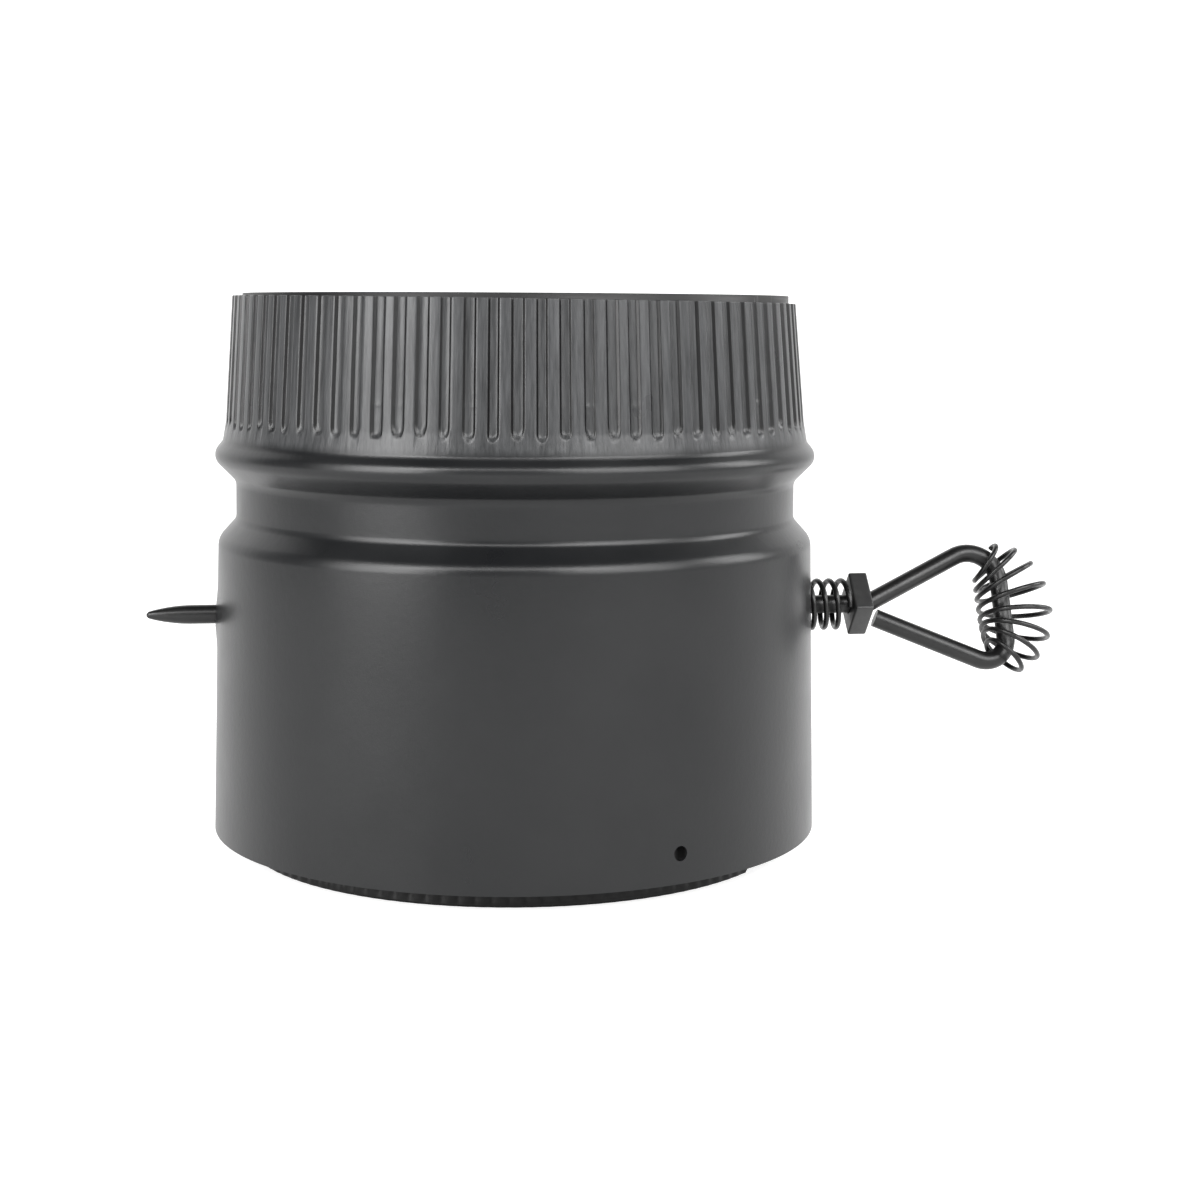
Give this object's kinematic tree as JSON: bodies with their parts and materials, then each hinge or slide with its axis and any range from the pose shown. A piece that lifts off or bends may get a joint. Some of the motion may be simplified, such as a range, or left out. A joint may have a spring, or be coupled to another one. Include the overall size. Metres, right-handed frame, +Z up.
{
  "type": "stove pipe damper section",
  "caption": "Short black double-wall stovepipe section with a crimped upper end and a cast-iron butterfly plate on a spring-loaded rod with a coil-grip handle.",
  "frame": {"origin": "on the flue's axis at the lower edge of the liner, where the section sits in the pipe or collar below", "axes": "+Z up the flue towards the crimped end, +X along the damper rod towards its handle, -Y the front that the picture shows"},
  "size_m": [0.2632, 0.17, 0.1549],
  "materials": {
    "satin_black_paint": "satin charcoal black stove paint on sheet steel",
    "dark_liner_steel": "dark coated sheet steel, a little glossier than the casing",
    "clip_steel": "plain bent strip",
    "cast_iron": "rough black sand casting",
    "blackened_steel": "blackened steel bar, semi-gloss",
    "spring_wire": "oil-blackened spring wire"
  },
  "bodies": {
    "pipe": {"outer_casing": "satin_black_paint", "inner_liner": "dark_liner_steel", "spacer_clip_1": "clip_steel", "spacer_clip_2": "clip_steel", "spacer_clip_3": "clip_steel", "tension_spring": "spring_wire"},
    "plate": {"damper_plate": "cast_iron"},
    "spindle": {"damper_rod": "blackened_steel", "spring_collar": "blackened_steel", "handle_coil": "spring_wire"}
  },
  "joints": [
    {"name": "damper_turn", "type": "hinge", "parent": "pipe", "child": "plate", "pos_m": [0, 0, 0.0652], "axis": [1, 0, 0], "continuous": true},
    {"name": "rod_push", "type": "slide", "parent": "plate", "child": "spindle", "axis": [1, 0, 0], "range_m": [-0.004, 0], "stiffness_N_per_m": 2400, "springref_m": 0.004, "deforming": ["tension_spring"]}
  ]
}
